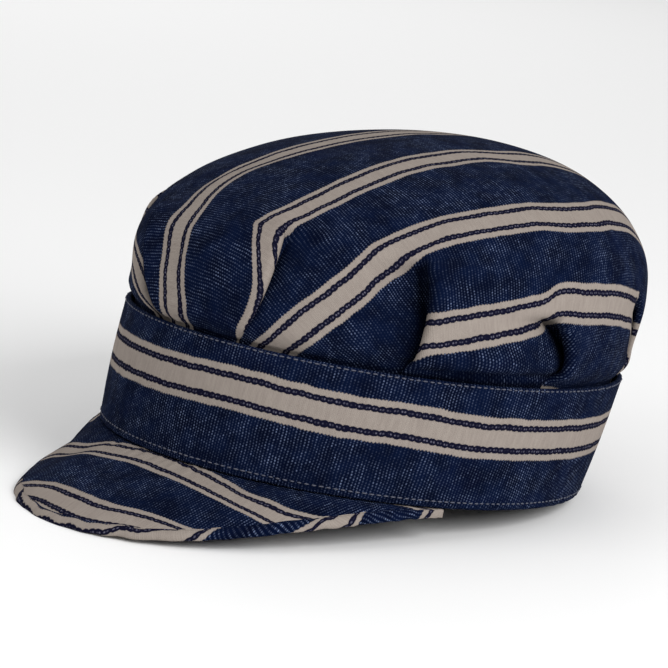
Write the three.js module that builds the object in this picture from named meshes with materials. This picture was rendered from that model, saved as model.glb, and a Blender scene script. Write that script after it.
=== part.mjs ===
// A soft peaked work cap: a pleated crown, an upright band and a short curved peak.
// Millimetres and degrees. The front looks along -Y, +Z is up, and the cap rests on Z = 0.
//
// The pieces are worked out in the cap's own frame, whose origin is the centre of
// the band's lower edge, and are then tilted to the pose in which the cap lies by
// itself: on the edge of the peak and on the back of the band.
import * as THREE from 'three';

// ---- named sizes -----------------------------------------------------------

const WALL = 1.8;            // crown cloth, seam layers included
const BAND_WALL = 2.2;       // band, two layers with a stiffener
const PEAK_WALL = 2.6;       // peak, two layers with a stiffener
const GAP = 0.3;             // air kept between pieces that are sewn together

const BAND_HEIGHT = 47.4;    // along the cap's own vertical
const BAND_COLUMNS = 96;
const BAND_SWELL = 0.8;      // how far the band bows out between its edges
const BAND_EDGE_ROUND = 0.5; // rounding of the band's edges

const PEAK_LIP = 2.2;        // width of the rounded outer edge
const PEAK_COLUMNS = 48;

const REST_TILT = 6.08;      // front raised by this when the cap lies by itself
const REST_SINK = 0.45;      // cloth pressed flat where it meets the floor

// ---- tables ----------------------------------------------------------------

// The band's two edges: ellipses at a height above the lower edge.
const BAND_EDGES = [
  { height: 0, centreY: 0, halfLength: 98.2, halfWidth: 90.8 },
  { height: BAND_HEIGHT, centreY: 8.2, halfLength: 101.7, halfWidth: 94.2 },
];

// The crown without its pleats, from the top down into the band. along runs from
// 0 at the top to 1 at the seam; rise is above the band's upper edge; dip lowers
// the front and lifts the back.
const CROWN_SECTIONS = [
  { along: 0.00, centreY: 20.0, halfLength: 0.0, halfWidth: 0.0, rise: 78.0, dip: 0.0 },
  { along: 0.22, centreY: 21.0, halfLength: 37.0, halfWidth: 33.0, rise: 76.0, dip: 3.7 },
  { along: 0.42, centreY: 20.0, halfLength: 68.0, halfWidth: 62.0, rise: 68.0, dip: 5.0 },
  { along: 0.60, centreY: 16.0, halfLength: 91.0, halfWidth: 83.5, rise: 54.0, dip: 5.0 },
  { along: 0.76, centreY: 12.0, halfLength: 103.5, halfWidth: 94.8, rise: 36.5, dip: 4.0 },
  { along: 0.90, centreY: 8.8, halfLength: 104.5, halfWidth: 96.6, rise: 14.5, dip: 2.0 },
  { along: 0.96, centreY: 8.3, halfLength: 102.8, halfWidth: 95.4, rise: 5.0, dip: 0.3 },
  { along: 0.985, centreY: 8.2, halfLength: 100.4, halfWidth: 92.9, rise: 1.7, dip: 0.0 },
  { along: 1.00, centreY: 8.2, halfLength: 98.9, halfWidth: 91.4, rise: 0.4, dip: 0.0 },
  { along: 1.04, centreY: 7.0, halfLength: 98.3, halfWidth: 90.8, rise: -6.5, dip: 0.0 },
];

// How high the edge of a pleat stands and how deep the valley beside it is.
const PLEAT_RELIEF = [
  { along: 0.50, ridge: 0.0, valley: 0.0, puff: 0.0 },
  { along: 0.62, ridge: 1.2, valley: 1.0, puff: 0.5 },
  { along: 0.76, ridge: 4.2, valley: 3.4, puff: 1.2 },
  { along: 0.86, ridge: 5.0, valley: 3.6, puff: 1.6 },
  { along: 0.94, ridge: 3.2, valley: 1.6, puff: 0.8 },
  { along: 0.975, ridge: 1.8, valley: 0.5, puff: 0.2 },
  { along: 0.99, ridge: 0.6, valley: 0.0, puff: 0.0 },
  { along: 1.00, ridge: 0.0, valley: 0.0, puff: 0.0 },
];

// The pleats. angle runs round the cap from the front, positive to the wearer's
// left; over says which neighbour lies on top (+1 the one at the larger angle);
// opens is where the pleat starts to stand up; depth scales its relief; lean is
// how far the edge has moved round by the time it reaches the top of the pleat.
const PLEATS = [
  { angle: -162, over: -1, opens: 0.60, depth: 0.9, lean: 2 },
  { angle: -126, over: -1, opens: 0.62, depth: 0.9, lean: 3 },
  { angle: -90, over: -1, opens: 0.64, depth: 0.8, lean: 2 },
  { angle: -54, over: -1, opens: 0.58, depth: 1.1, lean: 2 },
  { angle: -16, over: 1, opens: 0.60, depth: 1.0, lean: -6 },
  { angle: 18, over: -1, opens: 0.60, depth: 0.9, lean: 2 },
  { angle: 54, over: 1, opens: 0.55, depth: 1.3, lean: -1 },
  { angle: 90, over: 1, opens: 0.66, depth: 0.9, lean: -2 },
  { angle: 126, over: 1, opens: 0.62, depth: 0.9, lean: -3 },
  { angle: 162, over: 1, opens: 0.60, depth: 0.9, lean: -2 },
];
const RIDGE_FADE = 15;       // mm from the edge over which the raised side sinks
const VALLEY_FADE = 9;       // mm from the edge over which the low side climbs
const PLEAT_OPENING = 0.16;  // length along the crown over which a pleat opens

// The peak, round the band from the wearer's right to the left. reach is measured
// out from the band along the peak, fall is its slope below the band's lower edge,
// and arch is how far its middle rises above a straight slope.
const PEAK_SECTIONS = [
  { angle: -72, reach: 0.0, fall: 36, arch: 0.0 },
  { angle: -64, reach: 1.6, fall: 40, arch: 0.05 },
  { angle: -54, reach: 4.2, fall: 44, arch: 0.1 },
  { angle: -42, reach: 12.5, fall: 45, arch: 0.3 },
  { angle: -28, reach: 29.8, fall: 37.0, arch: 1.0 },
  { angle: -14, reach: 46.0, fall: 29, arch: 1.8 },
  { angle: 0, reach: 52.5, fall: 26.5, arch: 1.8 },
  { angle: 14, reach: 47.5, fall: 25.5, arch: 1.8 },
  { angle: 28, reach: 34.5, fall: 25.5, arch: 1.5 },
  { angle: 42, reach: 19.5, fall: 26, arch: 1.0 },
  { angle: 54, reach: 9.5, fall: 27, arch: 0.5 },
  { angle: 64, reach: 3.5, fall: 28, arch: 0.2 },
  { angle: 72, reach: 0.0, fall: 28, arch: 0.0 },
];

// Swells and hollows of the crown cloth between the pleats.
const SWELLS = [
  { angle: 73, along: 0.93, overAngle: 13, overAlong: 0.045, height: 3.6 },
  { angle: 70, along: 0.80, overAngle: 10, overAlong: 0.05, height: -1.6 },
  { angle: 36, along: 0.84, overAngle: 8, overAlong: 0.10, height: -1.4 },
  { angle: -42, along: 0.91, overAngle: 15, overAlong: 0.07, height: -2.0 },
  { angle: 136, along: 0.91, overAngle: 16, overAlong: 0.06, height: -1.2 },
  { angle: -120, along: 0.92, overAngle: 16, overAlong: 0.05, height: 2.4 },
];

const CROWN_ROWS = [1.04, 1.0, 0.987, 0.972, 0.95, 0.92, 0.87, 0.81, 0.74, 0.67, 0.60, 0.52, 0.43, 0.33, 0.22, 0.11];
const CROWN_INNER_ROWS = [0.16, 0.32, 0.46, 0.59, 0.69, 0.78, 0.86, 0.93, 0.97, 1.0, 1.04];
// Columns beside each pleat's edge, in mm from it, and across a panel, as a share.
const EDGE_COLUMNS = [-9, -4, -0.6, 0.6, 4, 9];
const PANEL_COLUMNS = [0.36, 0.64];

// ---- helpers ---------------------------------------------------------------

const rad = THREE.MathUtils.degToRad;
const smooth = (x) => THREE.MathUtils.smoothstep(x, 0, 1);

// A smooth curve through one column of a table whose rows are ordered by key.
function curve(table, key, column) {
  const xs = table.map((row) => row[key]);
  const ys = table.map((row) => row[column]);
  const rise = xs.slice(1).map((x, i) => (ys[i + 1] - ys[i]) / (x - xs[i]));
  const slopes = xs.map((_, i) => {
    if (i === 0) return column === 'rise' ? 0 : rise[0];
    if (i === xs.length - 1) return rise[i - 1];
    const before = xs[i] - xs[i - 1], after = xs[i + 1] - xs[i];
    return (after * rise[i - 1] + before * rise[i]) / (before + after);
  });
  return (x) => {
    if (x <= xs[0]) return ys[0];
    if (x >= xs[xs.length - 1]) return ys[ys.length - 1];
    const i = xs.findIndex((limit) => limit >= x) - 1;
    const span = xs[i + 1] - xs[i], t = (x - xs[i]) / span;
    return ys[i] * (1 + 2 * t) * (1 - t) ** 2 + slopes[i] * span * t * (1 - t) ** 2
      + ys[i + 1] * t * t * (3 - 2 * t) + slopes[i + 1] * span * t * t * (t - 1);
  };
}

// Straight lines between the rows of a table.
function ramp(table, key, column) {
  return (x) => {
    const after = table.findIndex((row) => row[key] >= x);
    if (after === 0) return table[0][column];
    if (after < 0) return table[table.length - 1][column];
    const a = table[after - 1], b = table[after];
    return THREE.MathUtils.lerp(a[column], b[column], (x - a[key]) / (b[key] - a[key]));
  };
}

// From the cap's own frame to the resting pose.
let floorHeight = 0;
function place(point) {
  const t = rad(REST_TILT);
  const z = -point.y * Math.sin(t) + point.z * Math.cos(t) - floorHeight;
  return new THREE.Vector3(point.x, point.y * Math.cos(t) + point.z * Math.sin(t), Math.max(z, 0));
}

// A closed solid from rings of equal length, each ring joined to the next. A ring
// given as one point closes the shape there; otherwise last joins first.
function ringSolid(rings, name, colour, roughness) {
  const positions = [], starts = [];
  for (const ring of rings) {
    starts.push(positions.length / 3);
    for (const point of ring) positions.push(...place(point).toArray());
  }
  const index = [];
  const count = Math.max(...rings.map((ring) => ring.length));
  const join = (a, b) => {
    const lone = (k) => rings[k].length === 1;
    for (let i = 0; i < count; i++) {
      const j = (i + 1) % count;
      const at = (k, n) => starts[k] + (lone(k) ? 0 : n);
      if (!lone(a)) index.push(at(a, i), at(a, j), at(b, i));
      if (!lone(b)) index.push(at(a, j), at(b, j), at(b, i));
    }
  };
  for (let k = 0; k + 1 < rings.length; k++) join(k, k + 1);
  if (rings[0].length > 1) join(rings.length - 1, 0);
  const geometry = new THREE.BufferGeometry();
  geometry.setAttribute('position', new THREE.Float32BufferAttribute(positions, 3));
  geometry.setIndex(index);
  geometry.computeVertexNormals();
  const material = new THREE.MeshStandardMaterial({ color: colour, roughness, metalness: 0 });
  const mesh = new THREE.Mesh(geometry, material);
  mesh.name = name;
  return mesh;
}

// ---- band ------------------------------------------------------------------

const bandRing = {};
for (const column of ['centreY', 'halfLength', 'halfWidth']) {
  bandRing[column] = ramp(BAND_EDGES, 'height', column);
}

// A point of the band's outer face at an angle and height, moved out by offset.
function bandPoint(angle, height, offset) {
  const bow = 4 * BAND_SWELL * (height / BAND_HEIGHT) * (1 - height / BAND_HEIGHT);
  const a = bandRing.halfLength(height) + bow, b = bandRing.halfWidth(height) + bow;
  const normal = new THREE.Vector3(Math.sin(angle) / b, -Math.cos(angle) / a, 0).normalize();
  return new THREE.Vector3(b * Math.sin(angle), bandRing.centreY(height) - a * Math.cos(angle), height)
    .addScaledVector(normal, offset);
}

function makeBand() {
  const r = BAND_EDGE_ROUND;
  const outline = [
    [0, -r], [r, 0], [BAND_HEIGHT * 0.33, 0], [BAND_HEIGHT * 0.67, 0], [BAND_HEIGHT - r, 0],
    [BAND_HEIGHT, -r], [BAND_HEIGHT, r - BAND_WALL], [BAND_HEIGHT - r, -BAND_WALL],
    [BAND_HEIGHT * 0.5, -BAND_WALL], [r, -BAND_WALL], [0, r - BAND_WALL],
  ];
  const rings = outline.map(([height, offset]) => Array.from({ length: BAND_COLUMNS }, (_, i) =>
    bandPoint((i / BAND_COLUMNS) * 2 * Math.PI, height, offset)));
  return ringSolid(rings, 'band', 0x27324f, 0.9);
}

// ---- peak ------------------------------------------------------------------

const peak = {};
for (const column of ['reach', 'fall', 'arch']) peak[column] = curve(PEAK_SECTIONS, 'angle', column);
const PEAK_SPAN = PEAK_SECTIONS[PEAK_SECTIONS.length - 1].angle;

// A point of the peak at an angle in degrees, a distance out from the band's lower
// edge, and a depth below the peak's upper face.
function peakPoint(angle, distance, below) {
  const slope = rad(peak.fall(angle));
  const root = bandPoint(rad(angle), 0, 0);
  const out = bandPoint(rad(angle), 0, 1).sub(root);
  const run = Math.max(distance, 0);
  const share = Math.min(run / Math.max(peak.reach(angle), PEAK_LIP), 1);
  root.addScaledVector(out, distance < 0 ? distance : distance * Math.cos(slope));
  root.z = -GAP - run * Math.sin(slope) + 4 * peak.arch(angle) * share * (1 - share) - below / Math.cos(slope);
  return root;
}

function makePeak() {
  const half = PEAK_WALL / 2;
  const sections = [];
  for (let i = 0; i <= PEAK_COLUMNS; i++) {
    const angle = PEAK_SPAN * (2 * i / PEAK_COLUMNS - 1);
    const reach = Math.max(peak.reach(angle), 0.4);
    const lip = Math.min(PEAK_LIP, reach / 2);
    const at = (share) => -BAND_WALL + (reach - lip + BAND_WALL) * share;
    sections.push([
      peakPoint(angle, at(0), 0), peakPoint(angle, 0, 0), peakPoint(angle, at(0.35), 0),
      peakPoint(angle, at(0.7), 0), peakPoint(angle, reach - lip, 0.1),
      peakPoint(angle, reach - lip * 0.3, half * 0.5), peakPoint(angle, reach, half),
      peakPoint(angle, reach - lip * 0.3, half * 1.5), peakPoint(angle, reach - lip, PEAK_WALL),
      peakPoint(angle, at(0.7), PEAK_WALL), peakPoint(angle, at(0.35), PEAK_WALL),
      peakPoint(angle, 0, PEAK_WALL), peakPoint(angle, at(0), PEAK_WALL),
    ]);
  }
  const middle = (section) => section
    .reduce((sum, point) => sum.add(point), new THREE.Vector3()).divideScalar(section.length);
  return ringSolid([[middle(sections[0])], ...sections, [middle(sections[PEAK_COLUMNS])]], 'peak', 0x27324f, 0.9);
}

// ---- crown -----------------------------------------------------------------

const section = {};
for (const column of ['centreY', 'halfLength', 'halfWidth', 'rise', 'dip']) {
  section[column] = curve(CROWN_SECTIONS, 'along', column);
}
const relief = {};
for (const column of ['ridge', 'valley', 'puff']) relief[column] = ramp(PLEAT_RELIEF, 'along', column);

// The crown's plain shape, before pleats.
function domePoint(angle, along) {
  return new THREE.Vector3(
    section.halfWidth(along) * Math.sin(angle),
    section.centreY(along) - section.halfLength(along) * Math.cos(angle),
    BAND_HEIGHT + section.rise(along) - section.dip(along) * Math.cos(angle),
  );
}

function domeNormal(angle, along) {
  const step = 0.004;
  const down = domePoint(angle, Math.min(along + step, 1.04)).sub(domePoint(angle, Math.max(along - step, 0)));
  const round = domePoint(angle + step, along).sub(domePoint(angle - step, along));
  return down.cross(round).normalize();
}

// The angle of a pleat's edge at a place along the crown.
function pleatAngle(pleat, along) {
  return rad(pleat.angle + pleat.lean * (1 - smooth((along - pleat.opens) / (1 - pleat.opens))));
}

// How far the pleated cloth stands off the plain shape. Distances go round the
// crown in mm; side picks the face of the edge when the distance is next to zero.
function standOff(angle, along) {
  const size = (section.halfLength(along) + section.halfWidth(along)) / 2;
  let height = 0, nearest = Infinity;
  for (const pleat of PLEATS) {
    const turn = Math.atan2(Math.sin(angle - pleatAngle(pleat, along)), Math.cos(angle - pleatAngle(pleat, along)));
    const distance = turn * size * pleat.over;
    const open = pleat.depth * smooth((along - pleat.opens) / PLEAT_OPENING);
    height += distance > 0
      ? relief.ridge(along) * open * Math.exp(-distance / RIDGE_FADE)
      : -relief.valley(along) * open * Math.exp(distance / VALLEY_FADE);
    nearest = Math.min(nearest, Math.abs(turn));
  }
  height += relief.puff(along) * Math.sin(Math.min(nearest / rad(18), 1) * Math.PI / 2);
  for (const swell of SWELLS) {
    const turn = Math.atan2(Math.sin(angle - rad(swell.angle)), Math.cos(angle - rad(swell.angle)));
    const seam = smooth((1 - along) / 0.03);
    height += seam * swell.height * Math.exp(-((turn / rad(swell.overAngle)) ** 2) - ((along - swell.along) / swell.overAlong) ** 2);
  }
  return height;
}

// The angles of the crown's columns at a place along it: close beside each pleat's
// edge, wider apart between.
function columnAngles(along) {
  const size = Math.max((section.halfLength(along) + section.halfWidth(along)) / 2, 55);
  const angles = [];
  PLEATS.forEach((pleat, i) => {
    const edge = pleatAngle(pleat, along);
    const next = i + 1 < PLEATS.length ? pleatAngle(PLEATS[i + 1], along) : pleatAngle(PLEATS[0], along) + 2 * Math.PI;
    for (const offset of EDGE_COLUMNS) angles.push(edge + offset / size);
    for (const share of PANEL_COLUMNS) angles.push(THREE.MathUtils.lerp(edge, next, share));
  });
  return angles;
}

// The crown's inner face keeps the wall's thickness from every nearby point of the
// outer one, so a pleat's step stays a wall and never a knife edge.
function innerStandOff(angles, heights, at, along) {
  const size = (section.halfLength(along) + section.halfWidth(along)) / 2;
  const count = angles.length;
  let lowest = heights[at] - WALL;
  for (let i = 0; i < count; i++) {
    const j = (i + 1) % count;
    const wrap = j === 0 ? 2 * Math.PI : 0;
    for (let step = 0; step < 8; step++) {
      const angle = THREE.MathUtils.lerp(angles[i], angles[j] + wrap, step / 8);
      const turn = Math.atan2(Math.sin(angle - angles[at]), Math.cos(angle - angles[at]));
      const distance = Math.abs(turn) * size;
      if (distance >= WALL) continue;
      const height = THREE.MathUtils.lerp(heights[i], heights[j], step / 8);
      lowest = Math.min(lowest, height - Math.sqrt(WALL ** 2 - distance ** 2));
    }
  }
  return lowest;
}

function crownRing(along, inner) {
  const angles = columnAngles(along);
  const heights = angles.map((angle) => standOff(angle, along));
  return angles.map((angle, i) => {
    const height = inner ? innerStandOff(angles, heights, i, along) : heights[i];
    return domePoint(angle, along).addScaledVector(domeNormal(angle, along), height);
  });
}

function makeCrown() {
  const top = domePoint(0, 0);
  const rings = [
    [top.clone().add(new THREE.Vector3(0, 0, -WALL))],
    ...CROWN_INNER_ROWS.map((along) => crownRing(along, true)),
    ...CROWN_ROWS.map((along) => crownRing(along, false)),
    [top],
  ];
  return ringSolid(rings, 'crown', 0x27324f, 0.95);
}

// ---- assembly --------------------------------------------------------------

// The floor is where the lowest points of peak and band are, less the pressed cloth.
function lowestPoint() {
  const t = rad(REST_TILT);
  const heights = [bandPoint(Math.PI, 0, -BAND_EDGE_ROUND)];
  for (let i = 0; i <= PEAK_COLUMNS; i++) {
    const angle = PEAK_SPAN * (2 * i / PEAK_COLUMNS - 1);
    heights.push(peakPoint(angle, peak.reach(angle) - PEAK_LIP, PEAK_WALL));
  }
  return Math.min(...heights.map((p) => -p.y * Math.sin(t) + p.z * Math.cos(t)));
}
floorHeight = lowestPoint() + REST_SINK;

const cap = new THREE.Group();
cap.name = 'peaked_work_cap';
cap.add(makeBand(), makePeak(), makeCrown());

// The origin is on the floor under the middle of the whole cap.
const middle = new THREE.Box3().setFromObject(cap).getCenter(new THREE.Vector3());
for (const mesh of cap.children) mesh.geometry.translate(-middle.x, -middle.y, 0);

export default cap;
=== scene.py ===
# %% [markdown]
# # A peaked work cap in striped denim
#
# The cap has three cloth pieces: a full crown that is gathered into ten folded
# pleats, an upright headband, and a short curved peak. Cloth is what it is all
# about, so every piece is made flat in the mind first: each vertex knows its
# place on the flat cloth, and the woven stripes follow from that place.

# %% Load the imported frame
import math
from functools import partial, partialmethod

import bpy
import numpy as np
from mathutils import Matrix, Vector


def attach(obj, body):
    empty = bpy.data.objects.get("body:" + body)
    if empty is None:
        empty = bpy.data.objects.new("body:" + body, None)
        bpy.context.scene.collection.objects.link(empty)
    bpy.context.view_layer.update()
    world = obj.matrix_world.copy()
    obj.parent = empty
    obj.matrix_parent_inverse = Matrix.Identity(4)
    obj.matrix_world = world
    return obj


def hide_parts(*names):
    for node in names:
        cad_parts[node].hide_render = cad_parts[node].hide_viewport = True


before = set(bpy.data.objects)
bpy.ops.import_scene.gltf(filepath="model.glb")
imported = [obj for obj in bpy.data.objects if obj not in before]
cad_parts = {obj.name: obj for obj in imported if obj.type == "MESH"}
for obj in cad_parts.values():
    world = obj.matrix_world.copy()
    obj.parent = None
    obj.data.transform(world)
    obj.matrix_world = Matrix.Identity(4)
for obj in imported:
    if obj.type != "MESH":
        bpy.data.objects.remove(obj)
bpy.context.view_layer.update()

print("solids:", sorted(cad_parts))

# %% [markdown]
# ## One frame for everything
#
# The cap's own frame has its origin in the middle of the band's lower edge, with
# the front along -Y and +Z up through the crown. The cap then lies on a table by
# itself, so everything is tilted a little onto the edge of the peak and the back
# of the band. Writing that as one function keeps all the shapes simple to write.

# %% Tilt and place: cap millimetres to frame metres
REST_TILT = math.radians(6.08)
ORIGIN = np.array([0.282, -10.806, -9.898])  # the frame's origin, in the tilted cap's millimetres
LEAST_HEIGHT = 0.02                  # nothing lies nearer to the floor than this
MM = 0.001


def tilted(points, angle):
    """Points with the front raised by an angle."""
    x, y, z = points[..., 0], points[..., 1], points[..., 2]
    c, s = math.cos(angle), math.sin(angle)
    return together(x, y * c + z * s, -y * s + z * c)


def seated(points):
    """From the cap's own millimetres to the frame's metres, pressed on the floor."""
    out = tilted(np.asarray(points, float), REST_TILT)
    out = out - ORIGIN
    out[..., 2] = np.maximum(out[..., 2], LEAST_HEIGHT)
    return out * MM


# %% Small tables with named columns
def table(**columns):
    """A short table: one array for each named column."""
    return {name: np.array(values, float) for name, values in columns.items()}


def added_up(steps):
    """The length run so far at each point of a path: 0, then step by step."""
    return np.concatenate([[0], np.cumsum(steps)])


def smooth_step(x):
    t = np.clip(x, 0.0, 1.0)
    return t * t * (3 - 2 * t)


def curve(xs, ys, x, start_slope=None):
    """A smooth curve through the points (xs, ys), read at x."""
    gaps = np.diff(xs)
    rises = np.diff(ys) / gaps
    slopes = np.concatenate([[rises[0]], np.zeros(len(xs) - 2), [rises[-1]]])
    slopes[1:-1] = (gaps[1:] * rises[:-1] + gaps[:-1] * rises[1:]) / (gaps[1:] + gaps[:-1])
    if start_slope is not None:
        slopes[0] = start_slope
    x = np.clip(x, xs[0], xs[-1])
    i = np.clip(np.searchsorted(xs, x, side="left") - 1, 0, len(xs) - 2)
    t = (x - xs[i]) / gaps[i]
    return (ys[i] * (1 + 2 * t) * (1 - t) ** 2 + slopes[i] * gaps[i] * t * (1 - t) ** 2
            + ys[i + 1] * t * t * (3 - 2 * t) + slopes[i + 1] * gaps[i] * t * t * (t - 1))


def read(source, name, x, start_slope=None):
    """A table's column at x, smooth between its values; x runs along the first column."""
    return curve(next(iter(source.values())), source[name], x, start_slope)


def together(*parts):
    """One array with the parts side by side on its last axis."""
    return np.stack(np.broadcast_arrays(*parts), axis=-1)


# %% [markdown]
# ## The crown's plain shape
#
# Without its pleats the crown is a soft dome whose level sections are ovals. Ten
# measured sections are enough: a smooth curve through each column gives every
# section between them. The dome bulges back and over the band like a loose cap.

# %% Sections of the dome
BAND_HEIGHT = 47.4
CROWN = table(
    along=(0, 0.22, 0.42, 0.6, 0.76, 0.9, 0.96, 0.985, 1, 1.04),
    centre_y=(20, 21, 20, 16, 12, 8.8, 8.3, 8.2, 8.2, 7),
    half_length=(0, 37, 68, 91, 103.5, 104.5, 102.8, 100.4, 98.9, 98.3),
    half_width=(0, 33, 62, 83.5, 94.8, 96.6, 95.4, 92.9, 91.4, 90.8),
    rise=(78, 76, 68, 54, 36.5, 14.5, 5, 1.7, 0.4, -6.5),
    dip=(0, 3.7, 5, 5, 4, 2, 0.3, 0, 0, 0))


def dome(angle, along):
    """A point of the plain dome, at an angle from the front and a share of the way down."""
    def column(name):
        return read(CROWN, name, along, 0.0 if name == "rise" else None)
    x = column("half_width") * np.sin(angle)
    y = column("centre_y") - column("half_length") * np.cos(angle)
    z = BAND_HEIGHT + column("rise") - column("dip") * np.cos(angle)
    return together(x, y, z)


def dome_normal(angle, along, step=0.004):
    """The outward direction of the dome."""
    below, above = np.minimum(along + step, LAST_ROW), np.maximum(along - step, 0)
    down = dome(angle, below) - dome(angle, above)
    around = dome(angle + step, along) - dome(angle - step, along)
    normal = np.cross(down, around)
    return normal / np.maximum(np.linalg.norm(normal, axis=-1, keepdims=True), 1e-9)


# %% [markdown]
# ## Ten pleats from one flat disc
#
# The crown was cut as a disc, and its edge is far longer than the band. The spare
# length is folded away in ten pleats: the cloth runs under its neighbour, turns
# back, turns again and carries on. High up the disc and the dome have the same
# size, so each pleat closes there. How much is folded isn't a choice: it is the
# disc's length at that row less the dome's.

# %% Pleats, folds, swells and creases
# seam, apex: the visible edge's angle at the seam and where the pleat closes; belly:
# how far it bows round between them; over: 1 if the cloth further round lies on top,
# -1 if the cloth before it does; opens and quick: where the fold starts and how fast;
# turn: its roundness beside the others; stand: the share of its step that rises;
# valley_fade: millimetres over which the low side comes back up; dark: how strongly
# painted shade darkens the cloth in the fold, which is cut off at 1
PLEATS = table(
    seam=(-162, -126, -90, -54, -8, 15, 53.5, 89, 127, 162),
    apex=(-160, -122, -87, -52, -30, 18, 51.3, 83.5, 122, 160),
    belly=(0, 0, 0, 0, 0.5, 4, 3, 4, 0, 0),
    over=(-1, -1, -1, -1, 1, -1, 1, 1, 1, 1),
    opens=(0.68, 0.7, 0.72, 0.68, 0.66, 0.65, 0.672, 0.812, 0.78, 0.7),
    quick=(0.12, 0.12, 0.12, 0.12, 0.1, 0.05, 0.06, 0.045, 0.12, 0.12),
    turn=(1, 0.9, 0.9, 0.9, 1.3, 1.1, 1.8, 1.9, 0.8, 0.9),
    stand=(0.55, 0.5, 0.5, 0.35, 0.4, 0.32, 0.42, 0.4, 0.25, 0.5),
    valley_fade=(9, 9, 9, 9, 9, 9, 15, 10, 9, 9),
    dark=(0.6, 0.6, 0.6, 0.6, 5, 0.15, 1, 1, 0.8, 0.6))
# radius of a fold's turns in millimetres, and how much of its rise is left by the seam
FOLDS = table(
    along=(0, 0.6, 0.82, 0.9, 0.95, 0.975, 0.99, 1, 1.04),
    turn=(1.8, 1.8, 1.6, 1.3, 1, 0.8, 0.65, 0.6, 0.6),
    rise=(1, 1, 1, 1, 0.95, 0.6, 0.2, 0, 0))
# soft hollows and swells of the cloth between the pleats
SWELLS = table(
    angle=(72, 73, 84, 70, 36, 47, -42, 136, -120, 4, -70, 180, 104),
    along=(0.925, 0.975, 0.9, 0.8, 0.84, 0.82, 0.91, 0.91, 0.92, 0.8, 0.86, 0.86, 0.9),
    over_angle=(13, 16, 4, 10, 8, 6, 15, 16, 16, 8, 9, 9, 9),
    over_along=(0.034, 0.02, 0.04, 0.05, 0.1, 0.12, 0.07, 0.06, 0.05, 0.09, 0.07, 0.07, 0.05),
    height=(4.2, -3.6, -1.6, -1.6, -1.4, -3.2, -2, -1.2, 2.4, 2.4, 1.4, 1.2, 1.4))
# creases run from one place to another, with a height at their middle and a width
CREASES = table(
    angle0=(18, 84, 52, -26, 122, -52, -88, 160, -160, -122),
    along0=(0.655, 0.825, 0.67, 0.62, 0.76, 0.66, 0.72, 0.68, 0.68, 0.7),
    angle1=(2, 92, 60, -20, 112, -66, -80, 148, -172, -128),
    along1=(0.6, 0.48, 0.52, 0.4, 0.55, 0.46, 0.48, 0.42, 0.44, 0.5),
    height=(2.6, -1.1, 1.4, -1.4, -1, -1.2, -1, -1.1, -1.1, 1),
    width=(8, 7, 8, 9, 8, 8, 8, 9, 9, 8))
RIDGE_FADE = 15.0                    # millimetres over which a fold's high side comes down
PLEAT_COUNT = len(PLEATS["seam"])
FIRST_PANEL, PANEL_DEGREES = -162, 36    # the middle of the first pleat's share, and its size
PANEL = math.radians(PANEL_DEGREES)
CLOTH = 0.9                          # thickness of one layer
HIDDEN_IN_TURNS = 0.85               # the share of a fold's cloth that its turns take up
PAINTED_SHADE_FADE = 0.45                     # the painted shade beside a fold fades faster than its low side


def turn_between(a, b):
    """The signed angle from b to a, the short way round."""
    return (a - b + math.pi) % (2 * math.pi) - math.pi


def pleat_angle(k, along):
    """Where the visible edge of a pleat is, at a place down the crown."""
    t = np.clip((along - PLEATS["opens"][k]) / (1 - PLEATS["opens"][k]), 0, 1)
    degrees = (PLEATS["apex"][k] * (1 - t) + PLEATS["seam"][k] * t
               + PLEATS["belly"][k] * 4 * t * (1 - t))
    return math.radians(float(degrees))


def fold_turn(excess, turn_sum):
    """How far the cloth turns in a fold that hides a length, and its straight middle."""
    lean = np.linspace(0.0, math.pi, 400)
    used = turn_sum * (lean - np.sin(lean))
    angle = float(np.interp(HIDDEN_IN_TURNS * excess, used, lean))
    middle = (excess - turn_sum * (angle - math.sin(angle))) / max(1 - math.cos(angle), 1e-6)
    return angle, max(middle, 0.0)


# %% [markdown]
# The path of one fold is written once, as a drawing of the cloth's edge seen from
# the band: x runs round the cap and n stands off the dome. It is then read at
# points that crowd together where the cloth turns, so a tight fold stays round
# without filling the flat panels with faces.

# %% The path of the cloth through one pleat
def fold_path(left, right, excess, turn, stand, valley_fade, over):
    """x, n, length share and painted shade along the path; its visible edge is at x = 0."""
    if over < 0:
        x, n, share, painted_shade_mask, ridge, valley = fold_path(
            right, left, excess, turn, stand, valley_fade, over=1)
        return -x[::-1], n[::-1], (1 - share)[::-1], painted_shade_mask[::-1], ridge, valley
    angle, middle = fold_turn(excess, 2 * turn)
    step = 2 * turn * (1 - math.cos(angle)) + middle * math.sin(angle)
    valley, ridge = step * (1 - stand), step * stand
    to_edge = (turn * math.sin(angle) + middle * math.cos(angle)
               + turn * (math.sin(angle) - math.sin(min(angle, math.pi / 2))))
    start = -to_edge
    turning = np.linspace(0, angle, 24)
    back = turning[::-1][1:]
    ahead = np.linspace(0, middle, 20)[1:]
    under = np.linspace(-left, start, 60)[:-1]
    x1, n1 = start + turn * np.sin(turning), -valley + turn * (1 - np.cos(turning))
    x2, n2 = x1[-1] + ahead * math.cos(angle), n1[-1] + ahead * math.sin(angle)
    x3 = x2[-1] + turn * (math.sin(angle) - np.sin(back))
    n3 = n2[-1] + turn * (np.cos(back) - math.cos(angle))
    over_it = np.linspace(x3[-1], right, 60)[1:]
    x = np.concatenate([under, x1, x2, x3, over_it])
    n = np.concatenate([-valley * np.exp((under - start) / valley_fade), n1, n2, n3,
                        ridge * np.exp(-(over_it - x3[-1]) / RIDGE_FADE)])
    # painted shade: full in the fold's turns, fading on the low side beside it, none on the cloth
    # on top
    painted_shade_mask = np.concatenate([np.exp(np.minimum(under, 0) / (PAINTED_SHADE_FADE * valley_fade)),
                           np.ones(len(turning) + len(ahead)),
                           smooth_step(back / max(angle, 1e-6)), np.zeros_like(over_it)])
    length = added_up(np.hypot(np.diff(x), np.diff(n)))
    return x, n, length / length[-1], painted_shade_mask, ridge, valley


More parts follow.
